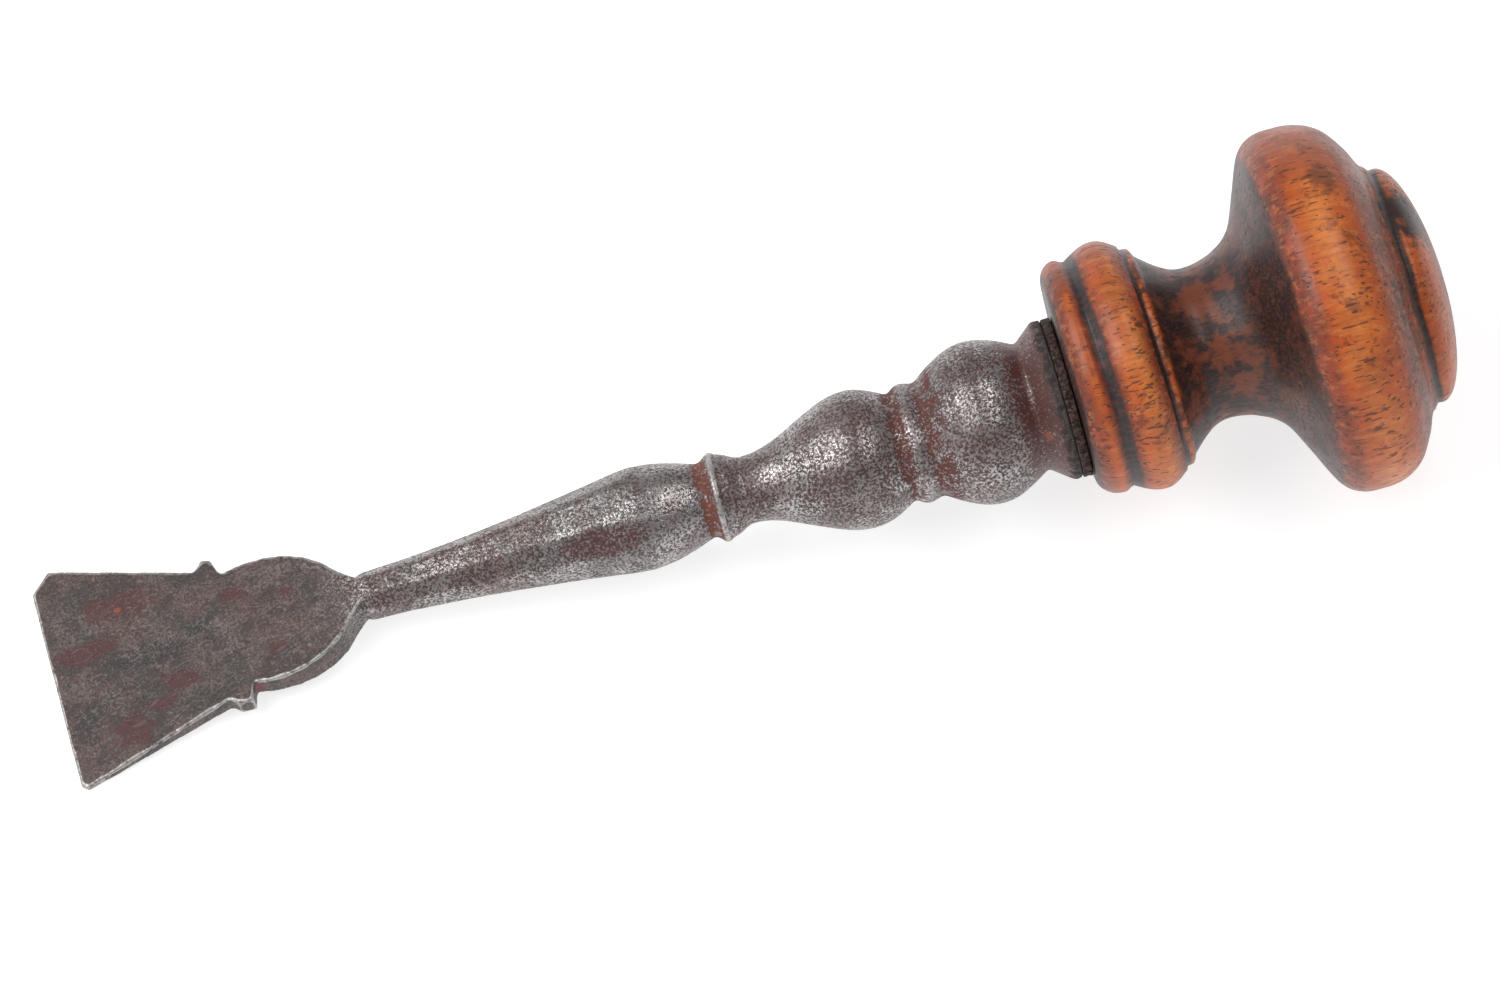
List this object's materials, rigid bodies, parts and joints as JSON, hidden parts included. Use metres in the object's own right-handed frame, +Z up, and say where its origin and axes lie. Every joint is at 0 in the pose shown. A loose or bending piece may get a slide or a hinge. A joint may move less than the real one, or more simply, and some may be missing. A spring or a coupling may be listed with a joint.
{
  "type": "fishtail hand iron",
  "caption": "Hand tool with a thin eared fishtail blade on a faceted and turned iron shank, set in a turned hardwood palm handle with a beaded collar, mushroom head and boss.",
  "frame": {"origin": "on the surface that the tool lies on, under the middle of its bounding box", "axes": "+X along the tool from the blade's end to the handle's boss, +Y across the blade, +Z up from the surface; the tool leans up towards its head by about 8 degrees"},
  "size_m": [0.191, 0.0504, 0.0502],
  "materials": {
    "iron": "worn forged iron with a brown patina, fine pitting and bright rubbed crests",
    "washer_leather": "dried and cracked, nearly black",
    "pitch": "hard dark resin, hidden",
    "varnished_wood": "old glossy varnish over beech, orange on the crests and nearly black in the hollows"
  },
  "bodies": {
    "root": {"blade_and_shank": "iron", "seat_washer": "washer_leather", "tang_pitch": "pitch", "handle": "varnished_wood"}
  },
  "joints": []
}
